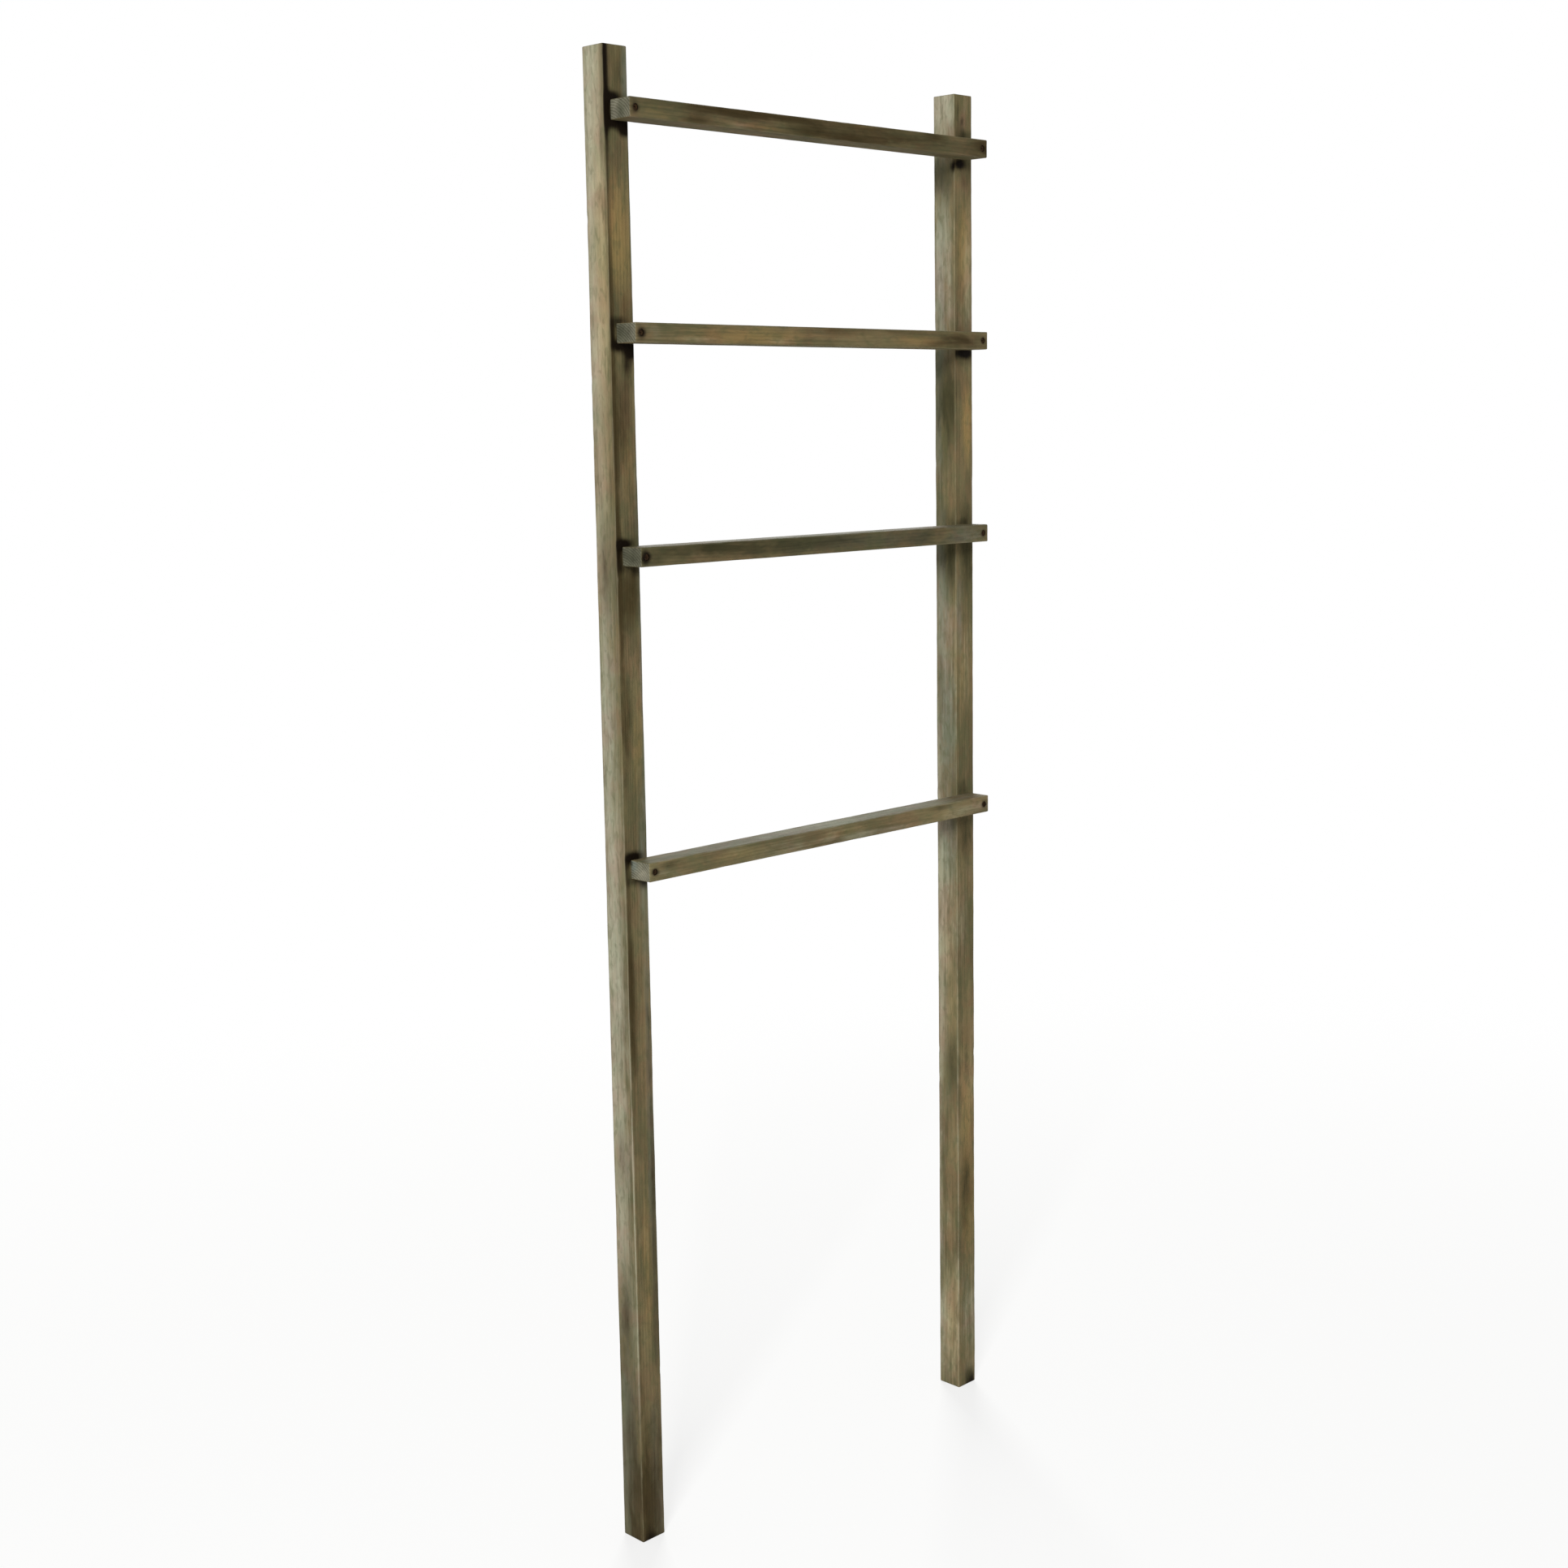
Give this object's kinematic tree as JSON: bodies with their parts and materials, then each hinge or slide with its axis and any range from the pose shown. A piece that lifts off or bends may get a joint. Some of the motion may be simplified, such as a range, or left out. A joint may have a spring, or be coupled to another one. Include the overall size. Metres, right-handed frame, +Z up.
{
  "type": "towel ladder",
  "caption": "Freestanding wooden towel ladder: two square rails with flat rungs screwed to their front faces, for hanging towels over.",
  "frame": {"origin": "on the floor, midway between the rails, in the plane where the backs of the rungs meet the fronts of the rails", "axes": "+X along the rungs to the viewer's right, +Y from the front of the ladder to its back, +Z up along the rails"},
  "size_m": [0.64, 0.07, 1.8],
  "materials": {
    "rail_wood": "dark olive brown stain over weathered softwood, worn and matt",
    "rung_wood": "dark olive brown stain over weathered softwood, worn and matt",
    "screw_steel": "dark, tarnished steel"
  },
  "bodies": {
    "root": {"left_rail": "rail_wood", "right_rail": "rail_wood", "top_rung": "rung_wood", "second_rung": "rung_wood", "third_rung": "rung_wood", "bottom_rung": "rung_wood", "top_left_screw": "screw_steel", "top_right_screw": "screw_steel", "second_left_screw": "screw_steel", "second_right_screw": "screw_steel", "third_left_screw": "screw_steel", "third_right_screw": "screw_steel", "bottom_left_screw": "screw_steel", "bottom_right_screw": "screw_steel"}
  },
  "joints": []
}
